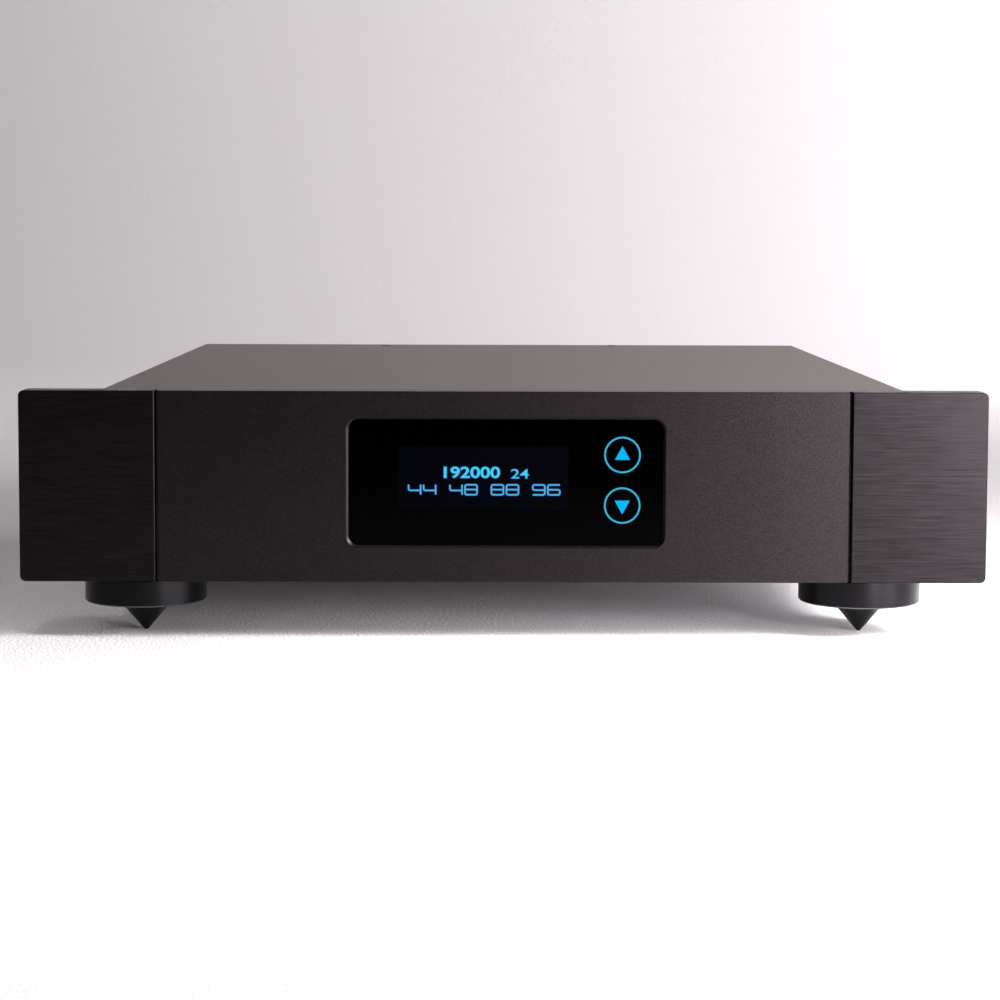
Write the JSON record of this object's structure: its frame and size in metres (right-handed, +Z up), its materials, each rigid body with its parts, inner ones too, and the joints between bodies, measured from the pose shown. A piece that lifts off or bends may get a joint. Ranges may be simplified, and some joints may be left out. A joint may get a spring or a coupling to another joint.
{
  "type": "desktop digital-to-analogue converter",
  "caption": "Full-width audio converter: anthracite aluminium casing on spiked disc feet, black glass display window with touch keys, and sockets along the back.",
  "frame": {"origin": "on the floor, under the middle of the whole object's box", "axes": "+Z up, +X to the right seen from the front; the fascia faces -Y and the sockets face +Y"},
  "size_m": [0.425, 0.415, 0.11],
  "materials": {
    "fascia": "fine bead-blasted, warm anthracite anodised",
    "cheek": "horizontally brushed, anthracite anodised",
    "cover": "satin, warm grey anodised sheet",
    "chassis": "plain folded sheet",
    "rear": "satin black anodised",
    "glass": "opaque gloss black",
    "display": "dark emitter panel on a small board",
    "board": "green solder mask over glass-fibre board",
    "foot": "turned, satin black anodised",
    "spike": "turned, black anodised",
    "steel": "nickelled",
    "black_screw": "black oxide",
    "black_plastic": "moulded, fine grain",
    "socket_metal": "black nickelled casting",
    "gold": "gold plated",
    "capacitor": "shrink sleeve over an aluminium can",
    "winding": "copper windings over a steel core, under amber tape",
    "heatsink": "black anodised extrusion",
    "cable": "grey sleeving",
    "fuse": "clear tube with nickelled caps"
  },
  "bodies": {
    "chassis": {"fascia_center": "fascia", "fascia_cheek_left": "cheek", "fascia_cheek_right": "cheek", "cheek_screw_left_low": "steel", "cheek_screw_left_high": "steel", "cheek_screw_right_low": "steel", "cheek_screw_right_high": "steel", "window_glass": "glass", "display_module": "display", "touch_board": "board", "control_board": "board", "display_ribbon": "cable", "front_subpanel": "chassis", "base_tray": "chassis", "top_cover": "cover", "cover_screw_left": "black_screw", "cover_screw_right": "black_screw", "rear_panel": "rear", "panel_screw_left": "black_screw", "panel_screw_right": "black_screw", "foot_disc_front_left": "foot", "foot_disc_front_right": "foot", "foot_disc_back_left": "foot", "foot_disc_back_right": "foot", "foot_bush_front_left": "steel", "foot_bush_front_right": "steel", "foot_bush_back_left": "steel", "foot_bush_back_right": "steel", "xlr_output_left": "socket_metal", "xlr_output_right": "socket_metal", "xlr_input": "socket_metal", "rca_input": "gold", "rca_output_left": "gold", "rca_output_right": "gold", "toslink_socket_1": "black_plastic", "toslink_socket_2": "black_plastic", "usb_socket": "steel", "mains_inlet": "black_plastic", "mains_lead": "cable", "main_board": "board", "power_board": "board", "capacitor_1": "capacitor", "capacitor_2": "capacitor", "capacitor_3": "capacitor", "capacitor_4": "capacitor", "heatsink": "heatsink", "transformer": "winding", "transformer_plate": "steel", "transformer_bolt": "steel"},
    "power_rocker": {"power_rocker": "black_plastic"},
    "fuse_drawer": {"fuse_drawer": "black_plastic", "fuse": "fuse"},
    "xlr_latch": {"xlr_latch": "steel"},
    "toslink_shutter_1": {"toslink_shutter_1": "black_plastic"},
    "toslink_shutter_2": {"toslink_shutter_2": "black_plastic"},
    "spike_front_left": {"foot_spike_front_left": "spike"},
    "spike_front_right": {"foot_spike_front_right": "spike"},
    "spike_back_left": {"foot_spike_back_left": "spike"},
    "spike_back_right": {"foot_spike_back_right": "spike"}
  },
  "joints": [
    {"name": "rocker_tilt", "type": "hinge", "parent": "chassis", "child": "power_rocker", "pos_m": [-0.142, 0.1937, 0.086], "axis": [-1, 0, 0], "range_deg": [0, 14]},
    {"name": "drawer_slide", "type": "slide", "parent": "chassis", "child": "fuse_drawer", "axis": [0, 1, 0], "range_m": [0, 0.022]},
    {"name": "latch_push", "type": "slide", "parent": "chassis", "child": "xlr_latch", "axis": [0, -1, 0], "range_m": [0, 0.0015], "stiffness_N_per_m": 300, "springref_m": -0.0005},
    {"name": "shutter_swing_1", "type": "hinge", "parent": "chassis", "child": "toslink_shutter_1", "pos_m": [-0.058, 0.1957, 0.0699], "axis": [-1, 0, 0], "range_deg": [0, 80], "stiffness_Nm_per_rad": 0.00005, "springref_deg": -11.46},
    {"name": "shutter_swing_2", "type": "hinge", "parent": "chassis", "child": "toslink_shutter_2", "pos_m": [-0.038, 0.1957, 0.0699], "axis": [-1, 0, 0], "range_deg": [0, 80], "stiffness_Nm_per_rad": 0.00005, "springref_deg": -11.46},
    {"name": "spike_height_front_left", "type": "slide", "parent": "chassis", "child": "spike_front_left", "axis": [0, 0, -1], "range_m": [0, 0.004]},
    {"name": "spike_height_front_right", "type": "slide", "parent": "chassis", "child": "spike_front_right", "axis": [0, 0, -1], "range_m": [0, 0.004]},
    {"name": "spike_height_back_left", "type": "slide", "parent": "chassis", "child": "spike_back_left", "axis": [0, 0, -1], "range_m": [0, 0.004]},
    {"name": "spike_height_back_right", "type": "slide", "parent": "chassis", "child": "spike_back_right", "axis": [0, 0, -1], "range_m": [0, 0.004]}
  ]
}
